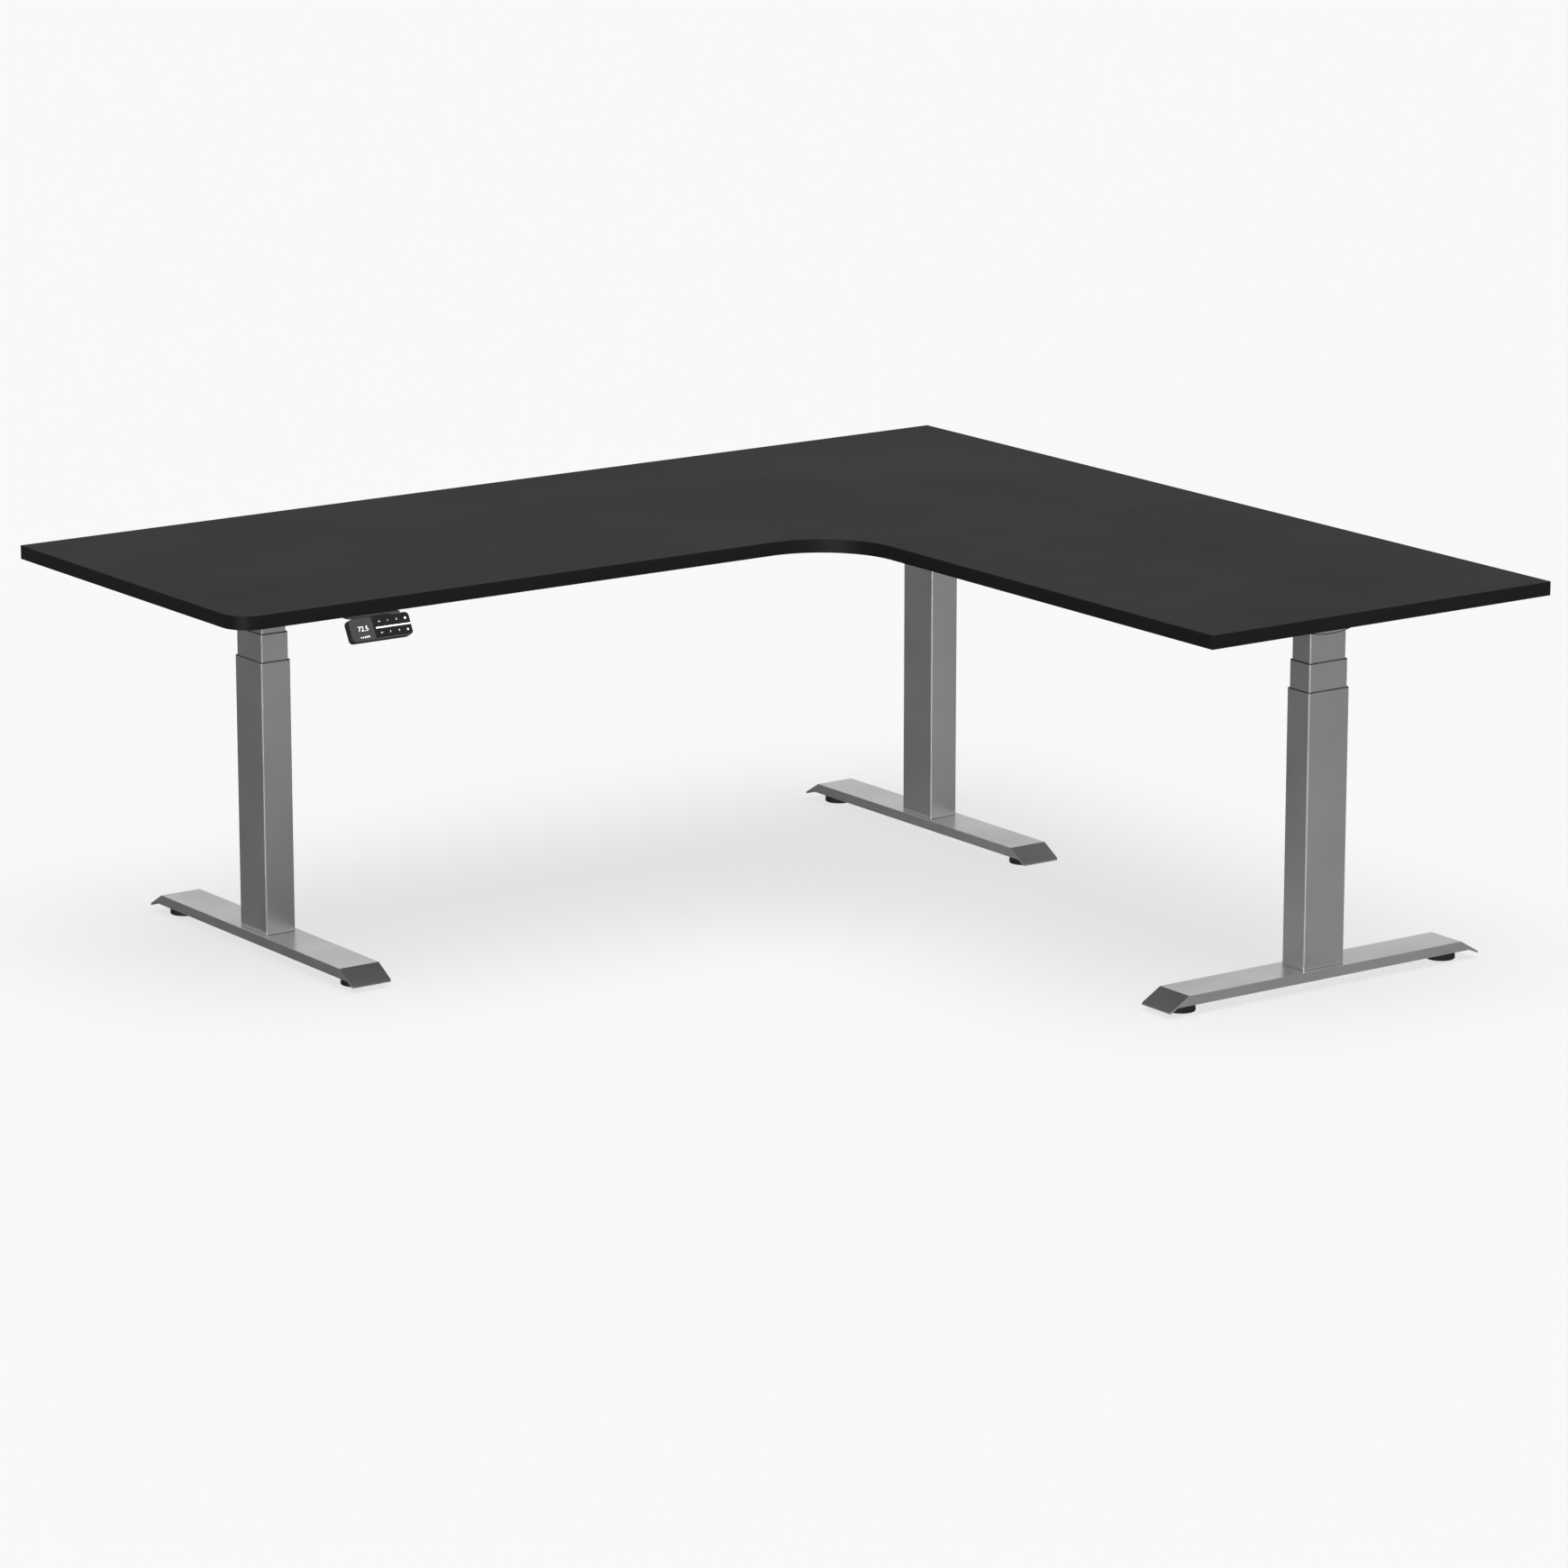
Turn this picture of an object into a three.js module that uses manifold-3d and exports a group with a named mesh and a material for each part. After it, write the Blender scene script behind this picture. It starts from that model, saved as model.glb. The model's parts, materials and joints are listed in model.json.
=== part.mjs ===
// Corner standing desk with three motorised lifting columns.
// Millimetres, +Z up. The origin is on the floor, under the middle of the desktop's bounding box.
// +X runs along the long back edge to the right, +Y runs towards that back edge.
import * as THREE from 'three';
import { mergeVertices } from 'three/addons/utils/BufferGeometryUtils.js';
import Module from 'manifold-3d';

const wasm = await Module();
wasm.setup();

// ---------------------------------------------------------------- driving dimensions
const GAP = 0.3;                       // between neighbouring solids

// Desktop: a long board with the inner corner, and a return board
const TOP_WIDTH = 2000;
const TOP_DEPTH = 1800;
const RUN_DEPTH = 750;                 // depth of both runs
const TOP_HEIGHT = 697;                // upper face above the floor, at rest
const BOARD_THICKNESS = 25;
const SEAM_Y = 0;                      // where the return board meets the long board
const INNER_CORNER_RADIUS = 150;
const FRONT_CORNER_RADIUS = 50;

// Three-stage columns, outermost first
const OUTER = { short: 60, long: 90, wall: 1.5, bottom: 36.3, top: 526.8 };
const MIDDLE = { short: 55, long: 85, wall: 1.5, bottom: 100, top: 576.8 };
const INNER = { short: 50, long: 80, wall: 2, bottom: 160, top: 636 };
const TUBE_CORNER = 4;
const COLLAR_HEIGHT = 1.2;

// Feet: folded sheet channels, open below, with a sloping lip at each end
const FOOT = { plate: 613, lip: 41.5, width: 80, top: 36, tip: 11.7, sheet: 3, tipCorner: 4 };
const FLANGE_BOTTOM = 18;              // the side flanges run out under the lips
const GLIDE = { inset: 13.4, radius: 26, height: 11, groove: 1.2, stud: 5 };

// Under-desk frame
const RAIL = { width: 30, height: 38, wall: 2, offset: 61 };
const HEAD = { halfWidth: 43.5, front: 30, rear: 150, bottom: 627, rise: 4.6, wall: 2.5 };
const ARM = { width: 50, height: 20, length: 560, wall: 2.5, offset: 57 };
const MOTOR = { radius: 17, length: 92, gearHalfShort: 24, gearHalfLong: 36, gearTop: 668 };
const SPINDLE = { radius: 8, bottom: 150 };
const HOLE_CLEARANCE = 0.5;            // around the inner tube in the head's underside
const CONTROL = { width: 260, depth: 84, height: 34, corner: 6 };
const SOCKET = { places: [-28.5, -9.5, 9.5, 28.5], halfWidth: 7, low: 9, high: 21, deep: 12 };
const SEAM_PLATE = { width: 60, length: 160, thickness: 3, inset: 120 };

// Handset under the front left edge, leaning back towards the desktop edge
const HANDSET = { x: -730, y: 130.6, z: 652.1, lean: 62.2, width: 120, height: 40.4, depth: 15.5, corner: 7 };
const PANEL_THICKNESS = 2;
const KEYPAD = { left: -14, bottom: -17.8 };    // the display panel fills the rest of the face
const SHELL_WALL = 2;
const KEY = { x: 25, y: -0.2, width: 13, height: 13.4, proud: 0.5, depth: 1.5, pitch: 17.3, row: 19.8, corner: 2 };
const BRACKET = { left: -788, right: -682, front: 142, rear: 205, thickness: 2.2, corner: 5 };
const WEB = { width: 70, front: 160, rear: 176, up: 12, down: -6 };

const underside = TOP_HEIGHT - BOARD_THICKNESS;
const frameTop = underside - GAP;
const halfWidth = TOP_WIDTH / 2;
const halfDepth = TOP_DEPTH / 2;
const mainFront = halfDepth - RUN_DEPTH;
const returnLeft = halfWidth - RUN_DEPTH;

// Column places. turn aims the column's long side and its foot, motor is the side the motor lies on.
const LEGS = [
  { name: 'left', x: -730, y: halfDepth - RUN_DEPTH / 2, turn: 0, motor: 1 },
  { name: 'back', x: 730, y: halfDepth - RUN_DEPTH / 2, turn: 0, motor: -1 },
  { name: 'right', x: halfWidth - RUN_DEPTH / 2, y: -730, turn: -Math.PI / 2, motor: -1 },
];

// ---------------------------------------------------------------- materials
const metal = (color, roughness) => new THREE.MeshStandardMaterial({ color, roughness, metalness: 0.6 });
const plastic = (color, roughness) => new THREE.MeshStandardMaterial({ color, roughness, metalness: 0 });
const finish = {
  board: plastic(0x1b1b1c, 0.55),
  column: metal(0xa9abad, 0.42),
  frame: metal(0x8b8d90, 0.5),
  zinc: metal(0xb4b6b8, 0.35),
  black: plastic(0x141414, 0.6),
  motor: metal(0x3a3b3d, 0.5),
  display: plastic(0x55585b, 0.25),
  keypad: plastic(0x202123, 0.35),
};

// ---------------------------------------------------------------- solid helpers
function toSolid(geometry) {
  const plain = geometry.clone();
  plain.deleteAttribute('normal');
  plain.deleteAttribute('uv');
  const merged = mergeVertices(plain, 1e-4);
  return new wasm.Manifold(new wasm.Mesh({
    numProp: 3,
    vertProperties: new Float32Array(merged.attributes.position.array),
    triVerts: new Uint32Array(merged.index.array),
  }));
}

function toGeometry(solid) {
  const mesh = solid.getMesh();
  const geometry = new THREE.BufferGeometry();
  geometry.setAttribute('position', new THREE.BufferAttribute(new Float32Array(mesh.vertProperties), 3));
  geometry.setIndex(new THREE.BufferAttribute(new Uint32Array(mesh.triVerts), 1));
  geometry.computeVertexNormals();
  return geometry;
}

const subtract = (base, ...tools) => toGeometry(
  tools.reduce((solid, tool) => solid.subtract(toSolid(tool)), toSolid(base)));
const unite = (base, ...others) => toGeometry(
  others.reduce((solid, other) => solid.add(toSolid(other)), toSolid(base)));
const intersect = (base, other) => toGeometry(toSolid(base).intersect(toSolid(other)));

function polygon(points) {
  return new THREE.Shape(points.map(([x, y]) => new THREE.Vector2(x, y)));
}

// A rectangle between two corners, each corner with its own radius, anticlockwise from the lower left.
function rectangle(x0, y0, x1, y1, radii) {
  const [a, b, c, d] = Array.isArray(radii) ? radii : [radii, radii, radii, radii];
  const quarter = Math.PI / 2;
  const shape = new THREE.Shape();
  shape.moveTo(x0 + a, y0);
  shape.lineTo(x1 - b, y0);
  if (b > 0) shape.absarc(x1 - b, y0 + b, b, -quarter, 0, false);
  shape.lineTo(x1, y1 - c);
  if (c > 0) shape.absarc(x1 - c, y1 - c, c, 0, quarter, false);
  shape.lineTo(x0 + d, y1);
  if (d > 0) shape.absarc(x0 + d, y1 - d, d, quarter, 2 * quarter, false);
  shape.lineTo(x0, y0 + a);
  if (a > 0) shape.absarc(x0 + a, y0 + a, a, 2 * quarter, 3 * quarter, false);
  return shape;
}

function extrude(shape, bottom, top, curveSegments = 2) {
  const geometry = new THREE.ExtrudeGeometry(shape, { depth: top - bottom, bevelEnabled: false, curveSegments });
  return geometry.translate(0, 0, bottom);
}

// Extrudes a (Y, Z) outline along X.
function extrudeAlongX(shape, from, to, curveSegments = 8) {
  const turned = new THREE.Matrix4().makeBasis(
    new THREE.Vector3(0, 1, 0), new THREE.Vector3(0, 0, 1), new THREE.Vector3(1, 0, 0));
  return extrude(shape, from, to, curveSegments).applyMatrix4(turned);
}

function box(x0, x1, y0, y1, z0, z1) {
  return new THREE.BoxGeometry(x1 - x0, y1 - y0, z1 - z0)
    .translate((x0 + x1) / 2, (y0 + y1) / 2, (z0 + z1) / 2);
}

// A rectangular ring, such as a tube's section, extruded upwards.
function ring(outerShort, outerLong, innerShort, innerLong, bottom, top) {
  const inner = Math.max(TUBE_CORNER - (outerShort - innerShort) / 2, 1);
  const shape = rectangle(-outerShort / 2, -outerLong / 2, outerShort / 2, outerLong / 2, TUBE_CORNER);
  shape.holes.push(rectangle(-innerShort / 2, -innerLong / 2, innerShort / 2, innerLong / 2, inner));
  return extrude(shape, bottom, top);
}

function place(parent, name, geometry, material) {
  const mesh = new THREE.Mesh(geometry, material);
  mesh.name = name;
  parent.add(mesh);
  return mesh;
}

// ---------------------------------------------------------------- column pieces, in the leg's own frame
function tube(stage) {
  const { short, long, wall, bottom, top } = stage;
  return ring(short, long, short - 2 * wall, long - 2 * wall, bottom, top);
}

// The plastic wiper ring on a tube's mouth, around the next tube in.
function collar(stage, next) {
  const clearance = 0.8;
  const bottom = stage.top + GAP;
  return ring(stage.short, stage.long, next.short + clearance, next.long + clearance,
    bottom, bottom + COLLAR_HEIGHT);
}

function foot() {
  const { plate, lip, width, top, tip, sheet, tipCorner } = FOOT;
  const half = plate / 2;
  const end = half + lip;
  const slope = Math.atan2(top - tip, lip);
  const bend = half - sheet * Math.tan(slope / 2);
  const innerTip = [end - sheet * Math.sin(slope), tip - sheet * Math.cos(slope)];
  const side = [[half, top], [end, tip], innerTip, [bend, top - sheet]];
  const mirrored = side.map(([y, z]) => [-y, z]).reverse();
  const strip = extrudeAlongX(polygon([...side, ...mirrored]), -width / 2, width / 2);
  const outline = extrude(rectangle(-width / 2, -end, width / 2, end, tipCorner), 0, top + 1);
  const slack = sheet / 2;
  const flangeFoot = half - slack + (top - slack - FLANGE_BOTTOM) / Math.tan(slope);
  const flangeOutline = polygon([
    [slack - half, top - slack], [-flangeFoot, FLANGE_BOTTOM], [flangeFoot, FLANGE_BOTTOM], [half - slack, top - slack],
  ]);
  const flange = (x) => extrudeAlongX(flangeOutline, x, x + sheet);
  return unite(intersect(strip, outline), flange(-width / 2), flange(width / 2 - sheet));
}

// A levelling glide: a grooved disc on a threaded stud that screws up into the foot's plate.
function glide() {
  const { radius, height, groove, stud } = GLIDE;
  const mid = height / 2;
  const profile = [
    [0, 0], [radius - 1.5, 0], [radius, 1.5], [radius, mid - 1], [radius - groove, mid],
    [radius, mid + 1], [radius, height - 1.5], [radius - 1.5, height], [stud, height],
    [stud, FOOT.top - FOOT.sheet - GAP], [0, FOOT.top - FOOT.sheet - GAP],
  ];
  const points = profile.map(([r, z]) => new THREE.Vector2(r, z));
  return new THREE.LatheGeometry(points, 24).rotateX(Math.PI / 2);
}

// The head housing is open above, has the column's hole below, and its underside bows down in the middle.
function headHousing(motorSide) {
  const { halfWidth: half, front, rear, bottom, rise, wall } = HEAD;
  const near = motorSide > 0 ? -front : -rear;
  const far = motorSide > 0 ? rear : front;
  const bowRadius = (half * half + rise * rise) / (2 * rise);
  const bowAngle = Math.asin(half / bowRadius);
  const outline = (inset) => {
    const shape = new THREE.Shape();
    const angle = Math.asin((half - inset) / bowRadius);
    shape.absarc(0, bottom + bowRadius + inset, bowRadius, -Math.PI / 2 - angle, -Math.PI / 2 + angle, false);
    shape.lineTo(half - inset, frameTop + inset);
    shape.lineTo(inset - half, frameTop + inset);
    return shape;
  };
  const shell = extrudeAlongX(outline(0), near, far, Math.ceil(24 * bowAngle));
  const hollow = extrudeAlongX(outline(wall), near + wall, far - wall, Math.ceil(24 * bowAngle));
  const holeShort = INNER.short / 2 + HOLE_CLEARANCE;
  const holeLong = INNER.long / 2 + HOLE_CLEARANCE;
  const hole = rectangle(-holeShort, -holeLong, holeShort, holeLong, TUBE_CORNER);
  return subtract(shell, hollow, extrude(hole, bottom - wall, bottom + rise + 2 * wall));
}

// Worm gearbox over the inner tube, with the motor lying beside it.
function motor(side) {
  const { radius, length, gearHalfShort, gearHalfLong, gearTop } = MOTOR;
  const bottom = INNER.top + GAP;
  const gearbox = box(-gearHalfShort, gearHalfShort, -gearHalfLong, gearHalfLong, bottom, gearTop);
  const can = new THREE.CylinderGeometry(radius, radius, length, 28)
    .rotateZ(Math.PI / 2)
    .translate(side * (gearHalfShort + length / 2 - 1), 0, bottom + radius);
  return unite(gearbox, can);
}

function spindle() {
  const top = INNER.top;
  return new THREE.CylinderGeometry(SPINDLE.radius, SPINDLE.radius, top - SPINDLE.bottom, 16)
    .rotateX(Math.PI / 2)
    .translate(0, 0, (top + SPINDLE.bottom) / 2);
}

// A folded channel under the desktop, open above, at the head of the column.
function supportArm(side) {
  const { width, height, length, wall, offset } = ARM;
  const x = -side * offset;
  const solid = extrude(rectangle(x - width / 2, -length / 2, x + width / 2, length / 2, 6),
    frameTop - height, frameTop);
  const hollow = box(x - width / 2 + wall, x + width / 2 - wall, wall - length / 2, length / 2 - wall,
    frameTop - height + wall, frameTop + 1);
  return subtract(solid, hollow);
}

function buildLeg(desk, leg) {
  const group = new THREE.Group();
  group.position.set(leg.x, leg.y, 0);
  group.rotation.z = leg.turn;
  desk.add(group);
  const add = (piece, geometry, material) => place(group, `${leg.name}_${piece}`, geometry, material);

  add('foot', foot(), finish.column);
  for (const [end, side] of [['front', -1], ['rear', 1]]) {
    const mesh = add(`glide_${end}`, glide(), finish.black);
    mesh.position.y = side * (FOOT.plate / 2 - GLIDE.inset);
  }
  add('outer_tube', tube(OUTER), finish.column);
  add('outer_collar', collar(OUTER, MIDDLE), finish.black);
  add('middle_tube', tube(MIDDLE), finish.column);
  add('middle_collar', collar(MIDDLE, INNER), finish.black);
  add('inner_tube', tube(INNER), finish.column);
  add('spindle', spindle(), finish.zinc);
  add('motor', motor(leg.motor), finish.motor);
  add('head_housing', headHousing(leg.motor), finish.column);
  add('support_arm', supportArm(leg.motor), finish.frame);
}

// ---------------------------------------------------------------- desktop
function mainBoard() {
  const edge = SEAM_Y + GAP;
  const inner = INNER_CORNER_RADIUS;
  const corner = FRONT_CORNER_RADIUS;
  const shape = new THREE.Shape();
  shape.moveTo(-halfWidth, halfDepth);
  shape.lineTo(-halfWidth, mainFront + corner);
  shape.absarc(-halfWidth + corner, mainFront + corner, corner, Math.PI, 1.5 * Math.PI, false);
  shape.lineTo(returnLeft - inner, mainFront);
  shape.absarc(returnLeft - inner, mainFront - inner, inner, Math.PI / 2, Math.asin(edge / inner), true);
  shape.lineTo(returnLeft, edge);
  shape.lineTo(halfWidth, edge);
  shape.lineTo(halfWidth, halfDepth);
  return extrude(shape, underside, TOP_HEIGHT, 14);
}

function returnBoard() {
  return box(returnLeft, halfWidth, -halfDepth, SEAM_Y - GAP, underside, TOP_HEIGHT);
}

function buildDesktop(desk) {
  place(desk, 'main_board', mainBoard(), finish.board);
  place(desk, 'return_board', returnBoard(), finish.board);
  const { width, length, thickness, inset } = SEAM_PLATE;
  for (const [name, x] of [['inner', returnLeft + inset], ['outer', halfWidth - inset]]) {
    const plate = extrude(rectangle(x - width / 2, SEAM_Y - length / 2, x + width / 2, SEAM_Y + length / 2, 6),
      frameTop - thickness, frameTop);
    place(desk, `seam_plate_${name}`, plate, finish.zinc);
  }
}

// ---------------------------------------------------------------- frame rails and control box
// A square tube between two ends, along X or along Y, centred on the given line.
function rail(along, centre, from, to) {
  const { width, height, wall } = RAIL;
  const low = frameTop - height;
  const outer = rectangle(-width / 2, low, width / 2, frameTop, 2);
  outer.holes.push(rectangle(wall - width / 2, low + wall, width / 2 - wall, frameTop - wall, 1));
  const bar = extrudeAlongX(outer, from, to, 2);
  if (along === 'y') return bar.rotateZ(Math.PI / 2).translate(centre, 0, 0);
  return bar.translate(0, centre, 0);
}

function buildFrame(desk) {
  const [left, back, right] = LEGS;
  const armClear = ARM.offset - ARM.width / 2 - GAP;
  const mainEnds = [left.x - armClear, back.x + armClear];
  const returnEnds = [right.y - armClear, left.y - RAIL.offset - RAIL.width / 2 - GAP];
  place(desk, 'main_rail_front', rail('x', left.y - RAIL.offset, ...mainEnds), finish.frame);
  place(desk, 'main_rail_rear', rail('x', left.y + RAIL.offset, ...mainEnds), finish.frame);
  place(desk, 'return_rail_inner', rail('y', right.x - RAIL.offset, ...returnEnds), finish.frame);
  place(desk, 'return_rail_outer', rail('y', right.x + RAIL.offset, ...returnEnds), finish.frame);
}

// The control box hangs between the main rails, with four plug sockets in its left end.
function controlBox() {
  const { width, depth, height, corner } = CONTROL;
  const low = frameTop - height;
  const body = extrude(rectangle(-width / 2, -depth / 2, width / 2, depth / 2, corner), low, frameTop);
  const sockets = SOCKET.places.map((y) => box(-width / 2 - 1, SOCKET.deep - width / 2,
    y - SOCKET.halfWidth, y + SOCKET.halfWidth, low + SOCKET.low, low + SOCKET.high));
  return subtract(body, ...sockets);
}

// ---------------------------------------------------------------- handset
// Points of the (Y, Z) plane given by height up the face and distance behind it.
function behindFace(up, back) {
  const lean = THREE.MathUtils.degToRad(HANDSET.lean);
  return [
    HANDSET.y + up * Math.cos(lean) + back * Math.sin(lean),
    HANDSET.z + up * Math.sin(lean) - back * Math.cos(lean),
  ];
}

// The bracket's plate screws up under the desktop and reaches out past its edge. Its web carries the
// handset's back.
function handsetBracket() {
  const { left, right, front, rear, thickness, corner } = BRACKET;
  const low = frameTop - thickness;
  const plate = extrude(rectangle(left, front, right, rear, corner), low, frameTop);
  const reach = HANDSET.depth + GAP;
  const web = polygon([
    [WEB.front, low + 1], behindFace(WEB.up, reach), behindFace(WEB.down, reach), [WEB.rear, low + 1],
  ]);
  return unite(plate, extrudeAlongX(web, HANDSET.x - WEB.width / 2, HANDSET.x + WEB.width / 2));
}

function handsetShell() {
  const { width, height, depth, corner } = HANDSET;
  const front = -PANEL_THICKNESS - GAP;
  const wall = SHELL_WALL;
  const outer = extrude(rectangle(-width / 2, -height / 2, width / 2, height / 2, corner), -depth, front);
  const pocket = extrude(rectangle(wall - width / 2, wall - height / 2, width / 2 - wall, height / 2 - wall,
    corner - wall), wall - depth, front + 1);
  return subtract(outer, pocket);
}

const keyPlaces = [];
for (const [row, names] of [['up', 'memory_1', 'memory_2', 'timer'], ['down', 'memory_3', 'memory_4', 'lock']]
  .entries()) {
  for (const [column, name] of names.entries()) {
    keyPlaces.push({
      name: `key_${name}`,
      x: KEY.x + (column - 1.5) * KEY.pitch,
      y: KEY.y + (0.5 - row) * KEY.row,
    });
  }
}

function keyOutline({ x, y }, grow) {
  const w = KEY.width / 2 + grow;
  const h = KEY.height / 2 + grow;
  return rectangle(x - w, y - h, x + w, y + h, KEY.corner);
}

function facePlate() {
  const { width, height, corner } = HANDSET;
  return extrude(rectangle(-width / 2, -height / 2, width / 2, height / 2, corner), -PANEL_THICKNESS, 0);
}

// The corner of the face that the keypad fills, reaching past the face's own outline.
function keypadField(grow) {
  return box(KEYPAD.left - grow, HANDSET.width, KEYPAD.bottom - grow, HANDSET.height,
    -PANEL_THICKNESS - 1, 1);
}

function keypadPanel() {
  const holes = keyPlaces.map((key) => extrude(keyOutline(key, GAP), -PANEL_THICKNESS - 1, 1));
  return subtract(intersect(facePlate(), keypadField(0)), ...holes);
}

function displayPanel() {
  return subtract(facePlate(), keypadField(GAP));
}

function buildHandset(desk) {
  place(desk, 'handset_bracket', handsetBracket(), finish.black);
  const group = new THREE.Group();
  group.position.set(HANDSET.x, HANDSET.y, HANDSET.z);
  group.rotation.x = THREE.MathUtils.degToRad(HANDSET.lean);
  desk.add(group);
  place(group, 'handset_shell', handsetShell(), finish.black);
  place(group, 'handset_display', displayPanel(), finish.display);
  place(group, 'handset_keypad', keypadPanel(), finish.keypad);
  for (const key of keyPlaces) {
    place(group, key.name, extrude(keyOutline(key, 0), KEY.proud - KEY.depth, KEY.proud), finish.keypad);
  }
}

// ---------------------------------------------------------------- the desk
const desk = new THREE.Group();
buildDesktop(desk);
for (const leg of LEGS) buildLeg(desk, leg);
buildFrame(desk);
place(desk, 'control_box', controlBox(), finish.black).position.set(0, LEGS[0].y, 0);
buildHandset(desk);

export default desk;
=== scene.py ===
"""Looks of the corner standing desk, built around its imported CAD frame. Metres, +Z up."""
import json
import math

import bmesh
import bpy
from mathutils import Matrix, Vector

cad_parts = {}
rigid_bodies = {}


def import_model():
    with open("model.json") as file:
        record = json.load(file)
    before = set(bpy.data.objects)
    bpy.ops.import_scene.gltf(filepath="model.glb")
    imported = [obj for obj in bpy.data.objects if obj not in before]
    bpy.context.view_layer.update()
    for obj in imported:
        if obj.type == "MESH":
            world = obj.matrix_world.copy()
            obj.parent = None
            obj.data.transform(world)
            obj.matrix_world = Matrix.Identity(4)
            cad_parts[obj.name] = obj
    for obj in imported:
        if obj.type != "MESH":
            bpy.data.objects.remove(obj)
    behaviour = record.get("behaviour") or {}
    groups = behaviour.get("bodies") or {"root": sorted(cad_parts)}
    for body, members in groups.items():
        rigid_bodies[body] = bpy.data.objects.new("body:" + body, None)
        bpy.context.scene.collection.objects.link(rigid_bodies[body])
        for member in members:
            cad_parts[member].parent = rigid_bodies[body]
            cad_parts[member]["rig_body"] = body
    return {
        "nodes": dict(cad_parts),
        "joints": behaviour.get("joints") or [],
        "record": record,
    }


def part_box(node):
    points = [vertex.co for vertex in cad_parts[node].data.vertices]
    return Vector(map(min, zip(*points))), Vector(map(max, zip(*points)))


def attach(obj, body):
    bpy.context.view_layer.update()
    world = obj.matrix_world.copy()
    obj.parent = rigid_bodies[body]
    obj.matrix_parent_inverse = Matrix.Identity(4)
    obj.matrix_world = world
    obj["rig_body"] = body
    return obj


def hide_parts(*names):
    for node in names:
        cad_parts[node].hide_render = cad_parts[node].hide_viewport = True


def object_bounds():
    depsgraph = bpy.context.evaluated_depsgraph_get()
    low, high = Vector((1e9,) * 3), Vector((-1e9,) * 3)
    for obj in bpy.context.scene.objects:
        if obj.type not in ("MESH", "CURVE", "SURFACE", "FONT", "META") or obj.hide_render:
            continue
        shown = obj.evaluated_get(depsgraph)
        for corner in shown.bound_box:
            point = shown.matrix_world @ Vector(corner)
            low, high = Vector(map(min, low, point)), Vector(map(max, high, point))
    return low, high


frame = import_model()
cad_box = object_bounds()
NODES = frame["nodes"]
LEGS = ("left", "back", "right")
MM = 0.001
DOWN = (0, 0, -1)
TUBE_CORNER = 4 * MM
TUBE_WALLS = {"outer": 1.5 * MM, "middle": 1.5 * MM, "inner": 2 * MM}
BRACKET_PLATE = 2.2 * MM               # the handset bracket's thickness
FOOT_SHEET = 3 * MM                    # the folded foot's thickness
HEAD_BOW = 4.6 * MM                    # rise of the head's bowed lower edge towards its ends
GRAIN_DEPTH = 0.3 * MM                 # what a relief of 1 stands for
LETTER_RELIEF = 0.06 * MM
LEGEND_LIFT = 0.07 * MM                # middle of the lettering over the face it is on
LEGEND_LOW, LEGEND_HIGH = 0.02 * MM, 0.12 * MM
MERGE_DISTANCE = 2e-6                  # corners of a CAD mesh closer than this are one
SLIVER = 1e-6


# ------------------------------------------------------------------ materials
def nodes_of(name):
    """A new material with its node tree, principled shader and object coordinates."""
    made = bpy.data.materials.new(name)
    made.use_nodes = True
    tree = made.node_tree
    shader = tree.nodes["Principled BSDF"]
    coordinates = tree.nodes.new("ShaderNodeTexCoord")
    return made, tree, shader, coordinates.outputs["Object"]


def noise(tree, coordinates, scale, detail=3.0, roughness=0.55):
    node = tree.nodes.new("ShaderNodeTexNoise")
    node.inputs["Scale"].default_value = scale
    node.inputs["Detail"].default_value = detail
    node.inputs["Roughness"].default_value = roughness
    tree.links.new(coordinates, node.inputs["Vector"])
    return node.outputs["Fac"]


def remap(tree, value, low, high, from_low=0.3, from_high=0.7):
    node = tree.nodes.new("ShaderNodeMapRange")
    node.inputs["From Min"].default_value = from_low
    node.inputs["From Max"].default_value = from_high
    node.inputs["To Min"].default_value = low
    node.inputs["To Max"].default_value = high
    tree.links.new(value, node.inputs["Value"])
    return node.outputs["Result"]


def two_tone(tree, value, dark, light, from_low=0.3, from_high=0.7):
    """A colour that runs from dark to light as value rises."""
    ramp = tree.nodes.new("ShaderNodeValToRGB")
    ramp.color_ramp.elements[0].position = from_low
    ramp.color_ramp.elements[1].position = from_high
    ramp.color_ramp.elements[0].color = (*dark, 1)
    ramp.color_ramp.elements[1].color = (*light, 1)
    tree.links.new(value, ramp.inputs["Fac"])
    return ramp.outputs["Color"]


def bump(tree, height, strength, distance):
    node = tree.nodes.new("ShaderNodeBump")
    node.inputs["Strength"].default_value = strength
    node.inputs["Distance"].default_value = distance
    tree.links.new(height, node.inputs["Height"])
    return node.outputs["Normal"]


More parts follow.
